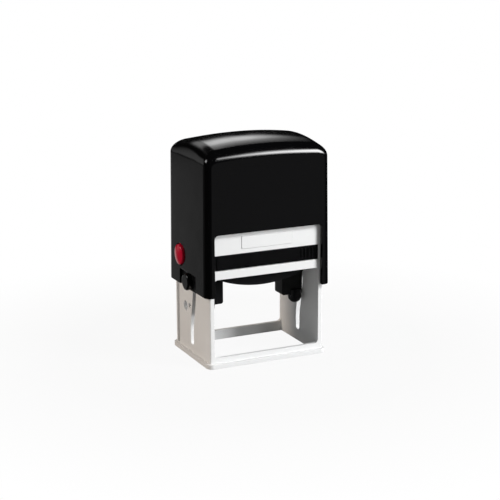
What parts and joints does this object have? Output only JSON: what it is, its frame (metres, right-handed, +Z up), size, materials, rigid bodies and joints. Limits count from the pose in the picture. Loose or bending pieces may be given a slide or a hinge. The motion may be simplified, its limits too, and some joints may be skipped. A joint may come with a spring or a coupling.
{
  "type": "self inking stamp",
  "caption": "Hand stamp with a glossy cap that slides down a pale frame, flips an inked rubber die from its pad onto the paper and springs back up.",
  "frame": {"origin": "middle of the footprint on the table, under the foot flange", "axes": "+Z up along the stroke, +X to the right along the width, +Y to the back; the front with the finger grip of the pad faces -Y"},
  "size_m": [0.0692, 0.0482, 0.1092],
  "materials": {
    "frame_plastic": "satin moulded",
    "spring_steel": "drawn wire",
    "pad_plastic": "satin moulded",
    "ink_felt": "soaked felt",
    "cap_plastic": "polished moulded",
    "shoe_plastic": "satin moulded",
    "platen_plastic": "satin moulded",
    "foam": "closed cell foam",
    "die_rubber": "engraved rubber",
    "crank_plastic": "satin moulded",
    "button_plastic": "polished moulded"
  },
  "bodies": {
    "frame": {"frame": "frame_plastic", "return_spring_left": "spring_steel", "return_spring_right": "spring_steel"},
    "ink_pad": {"pad_tray": "pad_plastic", "pad_felt": "ink_felt"},
    "cap": {"cap_shell": "cap_plastic", "left_pivot_shoe": "shoe_plastic", "right_pivot_shoe": "shoe_plastic"},
    "platen": {"platen": "platen_plastic", "die_foam": "foam", "text_die": "die_rubber", "left_crank": "crank_plastic", "right_crank": "crank_plastic"},
    "left_button": {"left_lock_button": "button_plastic"},
    "right_button": {"right_lock_button": "button_plastic"}
  },
  "joints": [
    {"name": "cap_press", "type": "slide", "parent": "frame", "child": "cap", "axis": [0, 0, -1], "range_m": [0, 0.0265], "stiffness_N_per_m": 520, "springref_m": -0.018, "deforming": ["return_spring_left", "return_spring_right"]},
    {"name": "platen_flip", "type": "hinge", "parent": "cap", "child": "platen", "pos_m": [0, -0.001, 0.0388], "axis": [1, 0, 0], "range_deg": [0, 180]},
    {"name": "pad_slide", "type": "slide", "parent": "frame", "child": "ink_pad", "axis": [0, -1, 0], "range_m": [0, 0.0436]},
    {"name": "left_lock", "type": "slide", "parent": "cap", "child": "left_button", "axis": [1, 0, 0], "range_m": [0, 0.0011]},
    {"name": "right_lock", "type": "slide", "parent": "cap", "child": "right_button", "axis": [-1, 0, 0], "range_m": [0, 0.0011]}
  ],
  "couplings": [
    {"joint": "platen_flip", "follows": "cap_press", "rad_per_m": 118.54}
  ]
}
